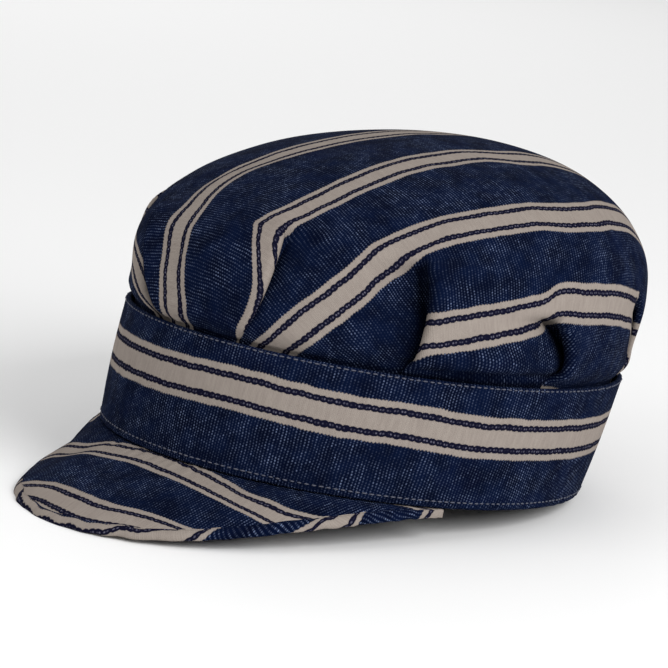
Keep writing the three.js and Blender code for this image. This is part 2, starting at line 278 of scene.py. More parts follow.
def crowded(x, n, others, count):
    """count points of a path, closer together where it bends."""
    piece = np.hypot(np.diff(x), np.diff(n))
    length = added_up(piece)
    heading = np.unwrap(np.arctan2(np.diff(n), np.diff(x)))
    bend = np.concatenate([[0], np.abs(np.diff(heading))])
    weight = added_up(piece / 2.6 + bend / math.radians(30))
    read = np.interp(np.linspace(0, weight[-1], count + 1)[:-1], weight, length)
    return [np.interp(read, length, values) for values in (x, n, *others)]


# %% Rows and columns of the crown
CROWN_ROWS = 100
COLUMNS_PER_PLEAT = 44
FIRST_ROW, LAST_ROW = 0.02, 1.04     # shares of the way down; the seam is at 1


def crown_rows():
    """Places down the crown, closer together by the seam."""
    even = np.linspace(FIRST_ROW, LAST_ROW, 2000)
    closeness = 1 + 1.6 * smooth_step((even - 0.86) / 0.10)
    weight = np.cumsum(closeness)
    return np.interp(np.linspace(weight[0], weight[-1], CROWN_ROWS), weight, even)


def flat_radius(angle, along, samples=120):
    """The disc's radius at a place: the length of cloth from the top of the dome."""
    down = np.linspace(0, 1, samples)[:, None] * np.asarray(along)
    path = dome(np.asarray(angle)[None, :], down)
    return np.linalg.norm(np.diff(path, axis=0), axis=-1).sum(axis=0)


# %% [markdown]
# Every row goes once round the crown, panel by panel. The result is one unbroken
# sheet: positions, and for each of them its place on the flat disc.

# %% Build the crown's sheet
SEED = 5
rng = np.random.default_rng(SEED)


def waves(count, low, high):
    """Random ripples round the cap: how many, how strong, and where each one starts."""
    return [(int(rng.integers(low, high)), rng.uniform(0.4, 1.0), rng.uniform(0, 2 * math.pi))
            for _ in range(count)]


def rippled(angle, ripples):
    total = sum(w * np.sin(n * angle + p) for n, w, p in ripples)
    return total / math.sqrt(len(ripples))


broad_waves = [(rng.uniform(-1, 1, 2) * 0.055, rng.uniform(0, 2 * math.pi), rng.uniform(0.5, 1.0))
               for _ in range(14)]
pucker_ripples = waves(9, 55, 110)


def undulation(flat_x, flat_y):
    """Slow random waves of worn cloth, from the flat place in millimetres."""
    total = sum(w * np.sin(d[0] * flat_x + d[1] * flat_y + p) for d, p, w in broad_waves)
    return total / math.sqrt(len(broad_waves))


def oval_size(along):
    """The mean radius of the dome's section."""
    return (read(CROWN, "half_length", along) + read(CROWN, "half_width", along)) / 2


DOWN_LENGTH = 153.0                  # millimetres of cloth from the top to the seam


def crease_height(angle, along, size):
    """Tent-like creases: distance to a line between two places, in millimetres."""
    total = np.zeros_like(angle)
    for angle0, along0, angle1, along1, height, width in zip(*CREASES.values()):
        a0 = math.radians(angle0)
        run = np.array([(math.radians(angle1) - a0) * size, (along1 - along0) * DOWN_LENGTH])
        px, py = turn_between(angle, a0) * size, (along - along0) * DOWN_LENGTH
        t = (px * run[0] + py * run[1]) / (run @ run)
        held = np.clip(t, 0, 1)
        off = np.hypot(px - held * run[0], py - held * run[1])
        fade = (1 - held ** 2) * 0.9 + 0.1
        total += height * fade * np.exp(-(np.sqrt(off ** 2 + 1.0) - 1.0) / width)
    return total


def stand_off(angle, along, ridges, valleys, own):
    """Relief from the neighbouring pleats, the swells and the creases, in millimetres."""
    size = oval_size(along)
    height = np.zeros_like(angle)
    for k in range(PLEAT_COUNT):
        away = turn_between(angle, pleat_angle(k, along)) * size * PLEATS["over"][k]
        part = np.where(away > 0, ridges[k] * np.exp(-np.abs(away) / RIDGE_FADE),
                        -valleys[k] * np.exp(-np.abs(away) / PLEATS["valley_fade"][k]))
        height = height + np.where(own == k, 0.0, part)
    seam = smooth_step((1 - along) / 0.012)
    for place, down, over_angle, over_along, swell in zip(*SWELLS.values()):
        turn = turn_between(angle, math.radians(place))
        height = height + seam * swell * np.exp(
            -(turn / math.radians(over_angle)) ** 2 - ((along - down) / over_along) ** 2)
    return height + seam * crease_height(angle, along, size)


# how the stripes run on the flat disc, which isn't quite straight since the cloth was
# eased while it was gathered: places down the disc and across it, in millimetres
STRIPE_RUNS = {
    -54: table(
        down=(-160, -139, -132, -124, -116, -106, -94, -76, -50, 0, 60, 160),
        across=(-52, -57, -61, -67, -74, -83, -90, -94, -95, -95, -93, -92)),
    -11: table(
        down=(-154, -149, -144, -139, -134, -129, -123, -117, -109, -101, -94, -88, -80, -74,
              -66, -58, -30, 0, 60, 160),
        across=(-6.2, -5.6, -6.8, -8.4, -9.8, -12, -15.2, -18.8, -22.8, -26, -27.6, -28, -28,
                -26.6, -23.4, -21.6, -19.5, -17.5, -16, -16)),
    32: table(
        down=(-160, -155, -150.6, -139.8, -134, -124.6, -118.5, -113, -109, -105, -98, -92, -80,
              -67, -53, -45, -30, -16, -8.8, -2.6, 3, 8.5, 30, 160),
        across=(30, 31.8, 33.9, 38.4, 39.5, 37, 32.8, 28.4, 27, 28.6, 29.7, 30.4, 30.6, 29.9, 29,
                28, 26.8, 26.5, 25.7, 26, 27.6, 29.6, 30.5, 30)),
    75: table(
        down=(-160, -128, -117, -107, -96, -85, -74, -62, -50, -38, -25, -12, 1.6, 9.4, 18.7,
              30.5, 37, 45, 52, 80, 160),
        across=(75, 75.4, 76, 76.9, 76.4, 74.4, 74, 74.3, 74.4, 75.1, 75.5, 75.2, 76.1, 75.9,
                74.5, 71.2, 69.5, 67.5, 65.5, 63, 62)),
    118: table(
        down=(-160, -100, -85, -75, -68, -63, -57, -51, -39, -32, -24.6, -16, -10, -2.6, 5.4, 15,
              26.5, 42, 50, 57, 62, 66, 71, 80, 87, 96, 160),
        across=(160, 129, 121, 117.3, 115.7, 116.7, 117.5, 118.1, 118.9, 118.9, 118.5, 117.5,
                114.7, 114.1, 114.2, 113.6, 111.7, 109.2, 107.6, 106.3, 109.5, 112, 111, 106,
                103, 102, 98)),
    161: table(
        down=(-160, -60, 0, 14, 28, 40, 60, 160),
        across=(180, 163, 160, 156.5, 156.5, 160, 160, 150)),
}
STRIPE_GUARD = 9.5                   # from a stripe's middle to cloth that may stretch


def eased(flat):
    """Flat places moved across, so that the woven stripes run as in the table."""
    across, down = flat[:, 0], flat[:, 1]
    woven, lies = [], []
    for place in (-140, -97, -54, -11, 32, 75, 118, 161):
        middle = read(STRIPE_RUNS[max(place, -54)], "across", down) + min(place + 54, 0)
        for side in (-STRIPE_GUARD, STRIPE_GUARD):
            woven.append(place + side)
            lies.append(middle + side)
    out = np.where(across < lies[0], across - lies[0] + woven[0], across - lies[-1] + woven[-1])
    for i in range(len(woven) - 1):
        share = (across - lies[i]) / (lies[i + 1] - lies[i])
        between = woven[i] + share * (woven[i + 1] - woven[i])
        out = np.where((share >= 0) & (share < 1), between, out)
    return together(out, down)


LOWERED = 0.8                        # the cloth lies a little inside the plain dome
UNDULATION, PUCKER = 0.55, 0.45      # millimetres
# painted shade on the crown where the band holds it, by angle round the cap
PAINTED_SEAM_SHADE = table(
    angle=(-170, 50, 58, 86, 91, 118, 126),
    shade=(0.6, 0.6, 0.9, 0.9, 0, 0, 0.6))


def crown_sheet():
    """Points, flat places, painted shade in the folds and by the seam: rows by columns; and each
    row's disc radius.
    """
    rows = crown_rows()
    ring = np.radians(np.linspace(-220, 220, 1761))
    around = np.radians(np.arange(0, 360, 12))
    points, flats, painted_shades, radii = [], [], [], []
    for along in rows:
        outline = dome(ring, along)
        arc = added_up(np.linalg.norm(np.diff(outline, axis=0), axis=-1))
        radius = float(np.mean(flat_radius(around, along)))
        base_turn = float(read(FOLDS, "turn", along))
        rise = float(np.clip(read(FOLDS, "rise", along), 0, 1))
        columns, ridges, valleys = [], [], []
        for k in range(PLEAT_COUNT):
            edge = pleat_angle(k, along)
            start = math.radians(FIRST_PANEL + PANEL_DEGREES * k) - PANEL / 2
            at = np.interp([start, edge, start + PANEL], ring, arc)
            spare = max(radius * PANEL - (at[2] - at[0]), 0.0)
            spare *= smooth_step((along - PLEATS["opens"][k]) / PLEATS["quick"][k])
            turn = base_turn * (1 + (PLEATS["turn"][k] - 1) * rise)
            x, n, share, painted_shade_mask, ridge, valley = fold_path(
                at[1] - at[0], at[2] - at[1], spare, turn, PLEATS["stand"][k] * rise,
                PLEATS["valley_fade"][k], PLEATS["over"][k])
            x, n, share, painted_shade_mask = crowded(x, n, (share, painted_shade_mask), COLUMNS_PER_PLEAT)
            # painted shade in the fold, only where the pleat has spare cloth to hide
            painted_shade_mask = np.minimum(painted_shade_mask * PLEATS["dark"][k], 1) * smooth_step(spare / 2.5)
            columns.append([at[1] + x, n, start + share * PANEL, np.full_like(x, k), painted_shade_mask])
            ridges.append(ridge)
            valleys.append(valley)
        x, n, phi, own, painted_shade_mask = np.concatenate(columns, axis=1)
        angle = np.interp(x, arc, ring)
        reach = flat_radius(angle, along)
        flat = together(reach * np.sin(phi), -reach * np.cos(phi))
        height = n + stand_off(angle, along, ridges, valleys, own) - LOWERED
        height = height + UNDULATION * undulation(flat[:, 0], flat[:, 1])
        by_seam = math.exp(-((along - 0.965) / 0.03) ** 2)
        height = height + PUCKER * rippled(phi, pucker_ripples) * by_seam
        height = height * smooth_step((along - FIRST_ROW) / 0.1)
        points.append(dome(angle, along) + dome_normal(angle, along) * height[:, None])
        flats.append(flat)
        # painted shade in the last rows, where the crown dives under the band's top edge
        shade = np.interp(np.degrees(angle), PAINTED_SEAM_SHADE["angle"], PAINTED_SEAM_SHADE["shade"], period=360)
        painted_shades.append(np.maximum(painted_shade_mask, shade * smooth_step((along - 0.984) / 0.016)))
        radii.append(radius)
    return np.array(points), np.array(flats), np.array(painted_shades), radii


crown_points, crown_flats, crown_painted_shades, crown_radii = crown_sheet()
print("crown sheet:", crown_points.shape, "disc radius mm:", round(crown_radii[-1], 1))


# %% [markdown]
# ## From rows of points to a mesh
#
# A row-and-column sheet becomes quads, and the flat places become its UV map in
# metres, so one unit of UV is one metre of cloth. The wall comes last, from the
# Solidify modifier, which keeps the UV map on both faces.

# %% Helpers for meshes and their UV maps
def new_piece(name, vertices, faces=(), edges=()):
    """An object with a smooth mesh of its own, linked to the scene."""
    mesh = bpy.data.meshes.new(name)
    mesh.from_pydata(vertices, edges, faces)
    mesh.polygons.foreach_set("use_smooth", [True] * len(mesh.polygons))
    piece = bpy.data.objects.new(name, mesh)
    bpy.context.scene.collection.objects.link(piece)
    return piece


def lay_flat(piece, label, flats):
    """A UV map from flat places in millimetres, one for each corner of each face."""
    layer = piece.data.uv_layers.new(name=label)
    layer.data.foreach_set("uv", (flats.reshape(-1, 2) * MM).ravel())


def numbered(points):
    """The number of each vertex of a grid of points, as a grid."""
    return np.arange(points[..., 0].size).reshape(points.shape[:2])


def triangles(piece):
    return sum(len(face.vertices) - 2 for face in piece.data.polygons)


def crown_piece(name, points, maps, painted_shades, pole):
    """The crown's mesh from closed rows of points, with a UV map for each set of flat places.

    pole is the point that closes the first row; its flat place is the disc's middle.
    """
    a = numbered(points)
    across = np.roll(a, -1, axis=1)
    quads = together(a[:-1], a[1:], across[1:], across[:-1]).reshape(-1, 4)
    cap = [[a.size, int(i), int(j)] for i, j in zip(a[0], across[0])]
    vertices = seated(np.vstack([points.reshape(-1, 3), pole]))
    piece = new_piece(name, vertices.tolist(), quads.tolist() + cap)
    corners = np.empty(len(piece.data.loops), dtype=np.int32)
    piece.data.loops.foreach_get("vertex_index", corners)
    for label, (flats, middle) in maps.items():
        lay_flat(piece, label, np.vstack([flats.reshape(-1, 2), middle])[corners])
    # the painted shade of each point, which the denim material reads
    depth = piece.data.attributes.new("painted_shade_amount", "FLOAT", "POINT")
    depth.data.foreach_set("value", np.append(painted_shades.ravel(), 0.0))
    return piece


def applied(piece):
    """Turn the piece's modifiers into plain mesh."""
    graph = bpy.context.evaluated_depsgraph_get()
    mesh = bpy.data.meshes.new_from_object(piece.evaluated_get(graph))
    piece.modifiers.clear()
    old = piece.data
    piece.data = mesh
    bpy.data.meshes.remove(old)
    mesh.name = piece.name
    return piece


# %% Build the crown
DISC_MIDDLE = np.zeros((1, 2))
crown = crown_piece(
    "crown_cloth", crown_points,
    {"cloth": (eased(crown_flats.reshape(-1, 2)), eased(DISC_MIDDLE)),
     "weave": (crown_flats, DISC_MIDDLE)},
    crown_painted_shades, pole=dome(np.array(0.0), np.array(0.0)))
wall = crown.modifiers.new("wall", "SOLIDIFY")
wall.thickness, wall.offset, wall.use_even_offset = CLOTH * MM, 0.0, False
applied(crown)
print("crown triangles:", triangles(crown))

# %% [markdown]
# ## The headband
#
# The band is a flat strip of two layers with a stiff one between. Its two edges
# are ovals, the upper one a little larger and set back, so the band leans with
# the head. A seam where crown and band meet pulls the cloth in and out a little.

# %% Build the band
BAND = table(
    height=(0, BAND_HEIGHT),
    centre_y=(0, 8.2),
    half_length=(98.2, 101.7),
    half_width=(90.8, 94.2))
BAND_WALL = 2.2
BAND_SWELL = 0.8
BAND_COLUMNS = 420
BAND_ROWS = 26
BAND_EDGE = 0.9                      # radius of the folded edges
SEAM_RIPPLE, BROAD_RIPPLE = 0.22, 0.35   # millimetres
EDGE_REACH = 5.0                     # how far the seams' ripples go in from the edges
MEAN_RADIUS = 96.0                   # turns angles into millimetres along the band


def band_point(angle, height, offset=0.0):
    """A point of the band's outer face, moved out by offset."""
    share = height / BAND_HEIGHT
    bow = 4 * BAND_SWELL * share * (1 - share)
    a = np.interp(height, BAND["height"], BAND["half_length"]) + bow
    b = np.interp(height, BAND["height"], BAND["half_width"]) + bow
    middle = np.interp(height, BAND["height"], BAND["centre_y"])
    nx, ny = np.sin(angle) / b, -np.cos(angle) / a
    size = np.hypot(nx, ny)
    x = b * np.sin(angle) + nx / size * offset
    y = middle - a * np.cos(angle) + ny / size * offset
    return together(x, y, height)


BAND_LENGTH = 594.0
JOIN_DEPTH, JOIN_WIDTH = 0.55, 0.9   # where the strip's two ends meet, at the back
seam_ripples = waves(7, 30, 90)
broad_ripples = waves(5, 3, 11)
# the band's stripe isn't quite level: places along the strip and how far it is off
BAND_DRIFT = table(
    along=(0, 256, 300, 327, 348, 370, 396, 412, 440, 480, 594),
    off=(0, 0.2, -0.7, -1.6, -0.9, 0, 0.1, 1.4, 2, 2.3, 0))
BAND_ANGLES = np.linspace(0, 2 * math.pi, BAND_COLUMNS, endpoint=False) + math.pi


def band_ring():
    """The band's closed outline at every column, with its place on the strip."""
    r, half = BAND_EDGE, BAND_WALL / 2
    edge = np.radians(np.linspace(0, 180, 9))[1:-1]
    up = np.linspace(r, BAND_HEIGHT - r, BAND_ROWS)
    outline = ([(h, 0.0, h) for h in up]
               + [(BAND_HEIGHT - r + r * math.sin(t), half * math.cos(t) - half,
                   BAND_HEIGHT - r + t * 1.1) for t in edge]
               + [(h, -BAND_WALL, 2 * BAND_HEIGHT - h) for h in up[::-1]]
               + [(r - r * math.sin(t), -half - half * math.cos(t),
                   2 * BAND_HEIGHT - r + t * 1.1) for t in edge])
    angle = BAND_ANGLES
    along = (angle - math.pi) / (2 * math.pi) * BAND_LENGTH
    drift = read(BAND_DRIFT, "off", along)
    points, flats = [], []
    for height, offset, place in outline:
        near_top = math.exp(-((height - BAND_HEIGHT) / EDGE_REACH) ** 2)
        near_foot = math.exp(-(height / EDGE_REACH) ** 2)
        mid = math.sin(math.pi * np.clip(height / BAND_HEIGHT, 0, 1))
        bump = (SEAM_RIPPLE * rippled(angle, seam_ripples) * (near_top + near_foot)
                + BROAD_RIPPLE * rippled(angle, broad_ripples) * mid)
        if offset == 0.0:
            from_join = turn_between(angle, math.pi) * MEAN_RADIUS
            bump = bump - JOIN_DEPTH * np.exp(-(from_join / JOIN_WIDTH) ** 2)
        points.append(band_point(angle, height, offset + bump))
        flats.append(together(along, place + drift))
    return np.array(points), np.array(flats)


def closed_band(name, points, flats):
    """Join a ring of outlines both ways round, with a clean seam in its UV map."""
    a = numbered(points)
    below, beside = np.roll(a, -1, axis=0), np.roll(a, -1, axis=1)
    both = np.roll(below, -1, axis=1)
    faces = together(a, beside, both, below).reshape(-1, 4)
    piece = new_piece(name, seated(points.reshape(-1, 3)).tolist(), faces.tolist())
    u, v = flats[..., 0], flats[..., 1]
    u_next = np.concatenate([u[:, 1:], np.full((len(a), 1), BAND_LENGTH)], axis=1)
    v_next = np.concatenate([v[1:], v[:1] + 2 * BAND_HEIGHT], axis=0)
    corners = [together(*pair) for pair in ((u, v), (u_next, v), (u_next, v_next), (u, v_next))]
    lay_flat(piece, "cloth", np.stack(corners, axis=2))
    return piece


band_points, band_flats = band_ring()
band = closed_band("band_cloth", band_points, band_flats)
print("band triangles:", triangles(band))

# %% [markdown]
# ## The peak
#
# The peak is a stiff crescent that is sewn under the band's lower edge and falls
# forwards. A table gives its reach and its fall at a few angles. The cloth below is
# turned up round the front edge, so a narrow rim of it shows all along.

# %% The peak's form
PEAK = table(
    angle=(-72, -64, -54, -42, -28, -14, 0, 14, 28, 42, 54, 64, 72),
    reach=(0, 1.6, 4.2, 12.5, 29.8, 46, 52.5, 47.5, 34.5, 19.5, 9.5, 3.5, 0),
    fall=(36, 40, 44, 45, 37, 29, 26.5, 25.5, 25.5, 26, 27, 28, 28),
    arch=(0, 0.05, 0.1, 0.3, 1, 1.8, 1.8, 1.8, 1.5, 1, 0.5, 0.2, 0))
PEAK_WALL = 2.6
PEAK_GAP = 0.3
PEAK_COLUMNS = 320
PEAK_END = 72                        # degrees from the front to either end
PEAK_PUCKER, RIM_RIPPLE = 0.28, 0.35 # millimetres
# soft dents in the top of the peak: where, how wide and how deep
DENTS = table(
    angle=(-20, -38, -12, 20, 35),
    out=(13, 14, 24, 30, 12),
    over=(9, 14, 8, 14, 9),
    height=(-1.9, -2.6, 0.8, -0.7, 0.6))
peak_ripples = waves(6, 30, 80)
rim_ripples = waves(6, 12, 60)


def peak_point(degrees, distance, below=0.0):
    """A point of the peak: its angle, its distance out, and its depth under the top."""
    fall = np.radians(read(PEAK, "fall", degrees))
    reach = read(PEAK, "reach", degrees)
    arch = read(PEAK, "arch", degrees)
    angle = np.radians(degrees)
    root = band_point(angle, 0.0)
    out = band_point(angle, 0.0, 1.0) - root
    run = np.maximum(distance, 0)
    share = np.clip(run / np.maximum(reach, 2.2), 0, 1)
    sideways = np.where(distance < 0, distance, distance * np.cos(fall))
    point = root + out * sideways[..., None]
    lift = 4 * arch * share * (1 - share)
    for place, far, over, height in zip(*DENTS.values()):
        off = np.hypot(np.radians(degrees - place) * (MEAN_RADIUS + far), run - far)
        lift = lift + height * np.exp(-(off / over) ** 2) * smooth_step(run / 4)
    lift = lift + PEAK_PUCKER * rippled(angle * 2, peak_ripples) * np.exp(-((run - 3) / 4.0) ** 2)
    point[..., 2] = -PEAK_GAP - run * np.sin(fall) + lift - below / np.cos(fall)
    return point


# %% [markdown]
# The flat cut of the peak is found by unrolling it. Its inner edge bends less on
# the flat cloth than it does on the cap, by the cosine of the fall, and each line
# outwards keeps its length. The stripes then lie across it as they were woven.

# %% Unroll the peak
def unrolled_root(degrees):
    """The inner edge's flat places and its flat outward directions."""
    angle = np.radians(degrees)
    fall = np.radians(read(PEAK, "fall", degrees))
    root = band_point(angle, 0.0)[:, :2]
    out = (band_point(angle, 0.0, 1.0) - band_point(angle, 0.0))[:, :2]
    heading = np.unwrap(np.arctan2(out[:, 1], out[:, 0]))
    turn = added_up(np.diff(heading) * np.cos((fall[1:] + fall[:-1]) / 2))
    turn -= np.interp(0.0, degrees, turn)
    middle = (turn[1:] + turn[:-1]) / 2
    step = np.linalg.norm(np.diff(root, axis=0), axis=-1)
    place = np.zeros((len(degrees), 2))
    place[1:, 0] = np.cumsum(step * np.cos(middle))
    place[1:, 1] = np.cumsum(-step * np.sin(middle))
    place -= np.array([np.interp(0.0, degrees, place[:, 0]), np.interp(0.0, degrees, place[:, 1])])
    return place, together(np.sin(turn), np.cos(turn))


# how far the cloth was pulled out of line when it was shaped, beside the band and
# 40 mm out from it, for places across the flat cut
PULL = table(
    across=(-95, -60, -42, -31, -24, -16, -10, 0, 17, 36, 52, 60, 65, 76, 95),
    near=(12, 12, 11.5, 10.5, 9.5, 8, 6.6, 4.2, 3.7, 4.4, 4.2, 2, 0.2, -9, -25),
    far=(4, 4, 3.6, 3, 2.6, 1.9, 2.2, 2.9, 2.4, -5.8, -14.8, -19, -22, -29, -40))


def pulled(flat):
    near = read(PULL, "near", flat[..., 0])
    far = read(PULL, "far", flat[..., 0])
    share = np.clip(flat[..., 1] / 40.0, 0, 1.3)
    out = flat.copy()
    out[..., 1] = flat[..., 1] - (near * (1 - share) + far * share)
    return out


# %% Build the peak
RIM = 1.9                            # width of the turned-up rim on the top
# the lower cloth lies with its grain turned, so that its stripes run along the rim
UNDER_TURN = table(
    across=(-50, -44, -34, -24, -12, 0, 12, 24, 35, 45, 50, 62, 68, 73, 77, 81, 92),
    shift=(-8, -7, -4.4, -3.7, -6, -7.9, -6.5, -3.3, -1, 5, 8, 8, 10, 12, 15, 19, 20))


def peak_sheet():
    """Points, flat places for the top cloth, flat places for the lower cloth."""
    degrees = np.linspace(-PEAK_END, PEAK_END, PEAK_COLUMNS + 1)
    reach = np.maximum(read(PEAK, "reach", degrees), 0.4)
    uneven = RIM_RIPPLE * rippled(np.radians(degrees) * 2, rim_ripples)
    reach = reach + uneven * smooth_step(reach / 12)
    fit = np.minimum(1.0, reach / 6.0)
    lip = PEAK_WALL / 2 * fit
    root, outwards = unrolled_root(degrees)
    points, top_flats, under_flats = [], [], []

    def row(distance, depth, under_run):
        points.append(peak_point(degrees, distance, depth))
        top_flats.append(root + outwards * distance[:, None])
        under_flats.append(root + outwards * under_run[:, None])

    rim_start = reach - lip - RIM * fit
    for share in np.linspace(0, 1, 36):
        distance = -BAND_WALL + (rim_start + BAND_WALL) * share
        row(distance, np.zeros_like(reach), reach + 4.0)
    top_rows = len(points)
    for out, depth in ((0.18, 0.34), (0.42, 0.05), (0.8, -0.06), (1.3, -0.02)):
        row(rim_start + out * fit, depth * fit, reach + 4.0 - out)
    for turn in np.linspace(0, math.pi, 11):
        row(reach - lip + lip * math.sin(turn), PEAK_WALL * (1 - math.cos(turn)) / 2 * fit
            + PEAK_WALL * (1 - fit) * (turn / math.pi), reach + 2.4 - turn * 1.3)
    for share in np.linspace(1, 0, 24)[1:]:
        distance = -BAND_WALL + (reach - lip + BAND_WALL) * share
        row(distance, np.full_like(reach, PEAK_WALL), distance)
    return np.array(points), np.array(top_flats), np.array(under_flats), top_rows


def closed_peak(name, points, top_flats, under_flats, top_rows):
    """Join the peak's outlines from end to end, with each cloth's own flat places."""
    a = numbered(points)
    below = np.roll(a, -1, axis=0)
    quads = together(a[:, :-1], below[:, :-1], below[:, 1:], a[:, 1:])
    faces = quads.reshape(-1, 4).tolist()
    faces += [a[:, 0][::-1].tolist(), a[:, -1].tolist()]
    piece = new_piece(name, seated(points.reshape(-1, 3)).tolist(), faces)
    top, under = top_flats.reshape(-1, 2), under_flats.reshape(-1, 2)
    turned = under.copy()
    turned[:, 1] += np.interp(under[:, 0], UNDER_TURN["across"], UNDER_TURN["shift"])
    on_top = (np.arange(len(a)) < top_rows - 1)[:, None, None, None]
    for label, above, beneath in (("cloth", pulled(top), turned), ("weave", top, under)):
        corners = np.where(on_top, above[quads], beneath[quads]).reshape(-1, 2)
        lay_flat(piece, label, np.concatenate([corners, beneath[a[:, 0][::-1]], beneath[a[:, -1]]]))
    return piece


peak_points, peak_tops, peak_unders, peak_top_rows = peak_sheet()
peak = closed_peak("peak_cloth", peak_points, peak_tops, peak_unders, peak_top_rows)
print("peak triangles:", triangles(peak))

# %% [markdown]
# ## Stitches
#
# Rows of pale thread hold the band's two edges. A stitch is a small thing that
# repeats along a line, so Geometry Nodes lay them: the line becomes a curve, the
# curve is read at even steps, and each step carries one short rounded stitch that
# is turned along the line.

# %% A node tree that sews along a line
STITCH_PITCH, STITCH_LENGTH, STITCH_THICKNESS = 2.7, 2.0, 0.58
SHORTEST, LONGEST = 0.82, 1.12       # a stitch's length beside the others
# the random value node has its decimal numbers at these places among its sockets
FLOAT_LIMITS, FLOAT_VALUE = slice(2, 4), 1


def add_node(tree, kind, **settings):
    made = tree.nodes.new(kind)
    for key, value in settings.items():
        setattr(made, key, value)
    return made


def stitch_tree(thread):
    """A tree with named inputs that turns a line of vertices into stitches."""
    tree = bpy.data.node_groups.new("sewn_row", "GeometryNodeTree")
    sockets = {}
    for label, kind, way in (("Geometry", "Geometry", "OUTPUT"), ("Geometry", "Geometry", "INPUT"),
                             ("Pitch", "Float", "INPUT"), ("Length", "Float", "INPUT"),
                             ("Thickness", "Float", "INPUT"), ("Seed", "Int", "INPUT")):
        sockets[label] = tree.interface.new_socket(
            label, in_out=way, socket_type="NodeSocket" + kind).identifier
    add = partial(add_node, tree)
    given, out = add("NodeGroupInput"), add("NodeGroupOutput")
    line = add("GeometryNodeMeshToCurve")
    steps = add("GeometryNodeResampleCurve", mode="LENGTH")
    bead = add("GeometryNodeMeshUVSphere")
    for label, value in (("Segments", 6), ("Rings", 4), ("Radius", 0.5)):
        bead.inputs[label].default_value = value
    tangent = add("GeometryNodeInputTangent")
    turn = add("FunctionNodeAlignRotationToVector", axis="X")
    loose = add("FunctionNodeRandomValue", data_type="FLOAT")
    for socket, value in zip(loose.inputs[FLOAT_LIMITS], (SHORTEST, LONGEST)):
        socket.default_value = value
    longer = add("ShaderNodeMath", operation="MULTIPLY")
    size = add("ShaderNodeCombineXYZ")
    place = add("GeometryNodeInstanceOnPoints")
    real = add("GeometryNodeRealizeInstances")
    finish = add("GeometryNodeSetMaterial")
    finish.inputs["Material"].default_value = thread
    for source, way_out, target, way_in in (
            (given, "Geometry", line, "Mesh"),
            (line, "Curve", steps, "Curve"),
            (given, "Pitch", steps, "Length"),
            (tangent, 0, turn, "Vector"),
            (given, "Seed", loose, "Seed"),
            (given, "Length", longer, 0),
            (loose, FLOAT_VALUE, longer, 1),
            (longer, 0, size, 0),
            (given, "Thickness", size, 1),
            (given, "Thickness", size, 2),
            (steps, "Curve", place, "Points"),
            (bead, "Mesh", place, "Instance"),
            (turn, "Rotation", place, "Rotation"),
            (size, 0, place, "Scale"),
            (place, "Instances", real, "Geometry"),
            (real, "Geometry", finish, "Geometry"),
            (finish, "Geometry", out, "Geometry")):
        tree.links.new(source.outputs[way_out], target.inputs[way_in])
    return tree, sockets


def sewn_rows(name, lines, tree, sockets):
    """One piece holding a row of stitches along each closed line of cap points."""
    vertices, edges = [], []
    for line in lines:
        first, count = len(vertices), len(line)
        vertices += seated(line).tolist()
        edges += [(first + i, first + (i + 1) % count) for i in range(count)]
    piece = new_piece(name, vertices, edges=edges)
    sewing = piece.modifiers.new("sewing", "NODES")
    sewing.node_group = tree
    for label, value in (("Pitch", STITCH_PITCH * MM), ("Length", STITCH_LENGTH * MM),
                         ("Thickness", STITCH_THICKNESS * MM), ("Seed", SEED)):
        sewing[sockets[label]] = value
    applied(piece)
    piece.data.polygons.foreach_set("use_smooth", [True] * len(piece.data.polygons))
    return piece


# %% [markdown]
# ## Striped denim
#
# The cloth is woven: dark blue with a grid of small pale dots where the weft shows,
# and a stripe group of thin, chain, broad, chain, thin. All of it is written from
# the flat place of the cloth in millimetres, so the weave keeps its scale and turns
# with each panel, as it does on the real cap.

# %% Helpers for shader nodes
class Number:
    """A number in a node tree: a sum or product of numbers becomes a Math node."""

    def __init__(self, shader, socket):
        self.shader, self.socket = shader, socket

    def made(self, operation, *others, clamp=False):
        node = self.shader.node("ShaderNodeMath", operation=operation, use_clamp=clamp)
        for socket, value in zip(node.inputs, (self, *others)):
            self.shader.put(socket, value)
        return Number(self.shader, node.outputs[0])

    __add__ = partialmethod(made, "ADD")
    __sub__ = partialmethod(made, "SUBTRACT")
    __mul__ = partialmethod(made, "MULTIPLY")
    __truediv__ = partialmethod(made, "DIVIDE")
    __mod__ = partialmethod(made, "FLOORED_MODULO")
    __pow__ = partialmethod(made, "POWER")
    __abs__ = partialmethod(made, "ABSOLUTE")


